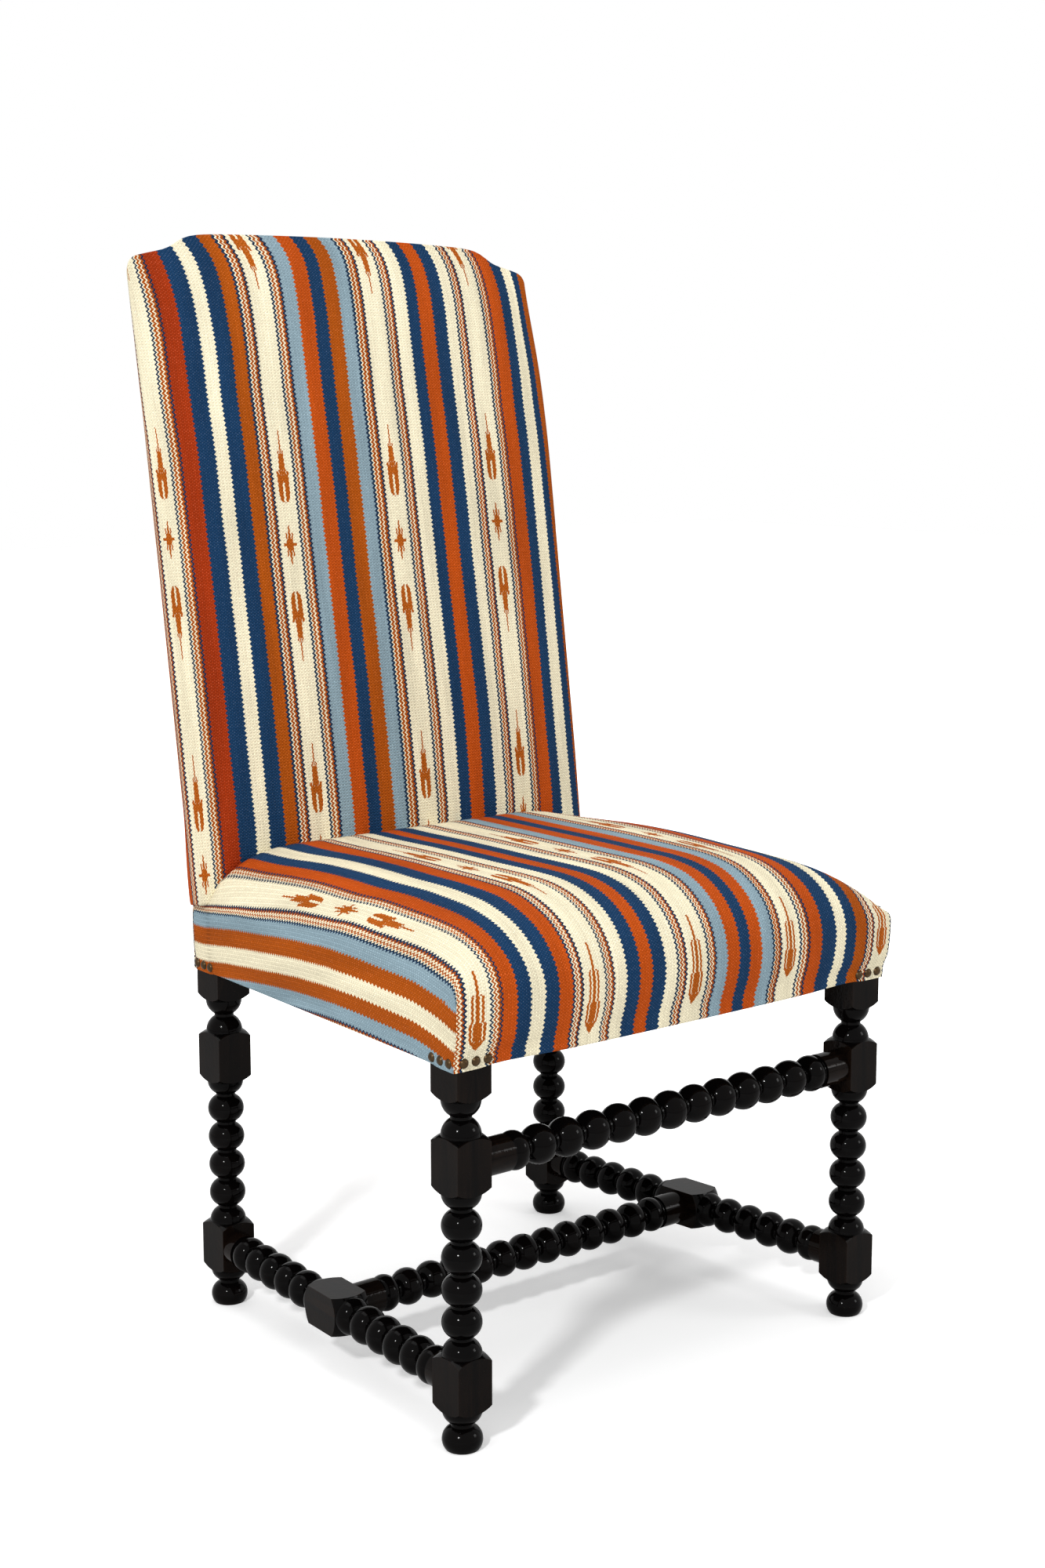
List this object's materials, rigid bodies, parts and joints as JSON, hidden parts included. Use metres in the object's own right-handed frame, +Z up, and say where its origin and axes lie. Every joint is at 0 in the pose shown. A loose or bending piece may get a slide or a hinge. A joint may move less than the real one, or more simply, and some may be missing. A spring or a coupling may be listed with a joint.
{
  "type": "upholstered side chair",
  "caption": "High-backed side chair with an arched upholstered back, a padded seat and bobbin-turned legs and stretchers, for sitting at a table",
  "frame": {"origin": "on the floor, under the middle of the whole chair's box", "axes": "+Z up, the chair's front faces -Y, +X is to the right of someone who faces the chair"},
  "size_m": [0.553, 0.5856, 1.095],
  "materials": {
    "black_lacquered_wood": "turned hardwood under glossy black lacquer",
    "frame_timber": "sawn, unfinished",
    "kilim": "flat-woven wool with stripes of cream, rust and blue",
    "jute_webbing": "woven jute strip",
    "hessian": "coarse plain weave",
    "stuffing": "soft fibre and foam",
    "dust_cloth": "thin black calico",
    "antique_brass": "darkened, satin",
    "screw_steel": "bright zinc"
  },
  "bodies": {
    "root": {"front_leg_left": "black_lacquered_wood", "front_leg_right": "black_lacquered_wood", "rear_leg_left": "black_lacquered_wood", "rear_leg_right": "black_lacquered_wood", "front_stretcher": "black_lacquered_wood", "medial_stretcher": "black_lacquered_wood", "side_stretcher_left": "black_lacquered_wood", "side_stretcher_right": "black_lacquered_wood", "front_seat_rail": "frame_timber", "rear_seat_rail": "frame_timber", "side_seat_rail_left": "frame_timber", "side_seat_rail_right": "frame_timber", "crest_rail": "frame_timber", "lower_back_rail": "frame_timber", "front_corner_block_left": "frame_timber", "front_corner_block_right": "frame_timber", "rear_corner_block_left": "frame_timber", "rear_corner_block_right": "frame_timber", "seat_cover": "kilim", "inside_back_cover": "kilim", "outside_back_cover": "kilim", "seat_webbing_lengthwise": "jute_webbing", "seat_webbing_crosswise": "jute_webbing", "back_webbing_upright": "jute_webbing", "back_webbing_crosswise": "jute_webbing", "seat_hessian": "hessian", "back_hessian": "hessian", "seat_padding": "stuffing", "back_padding": "stuffing", "seat_edge_wadding": "stuffing", "back_edge_wadding": "stuffing", "dust_cover": "dust_cloth", "front_nails_left": "antique_brass", "front_nails_right": "antique_brass", "rear_nails_left": "antique_brass", "rear_nails_right": "antique_brass", "corner_block_screws": "screw_steel"}
  },
  "joints": []
}
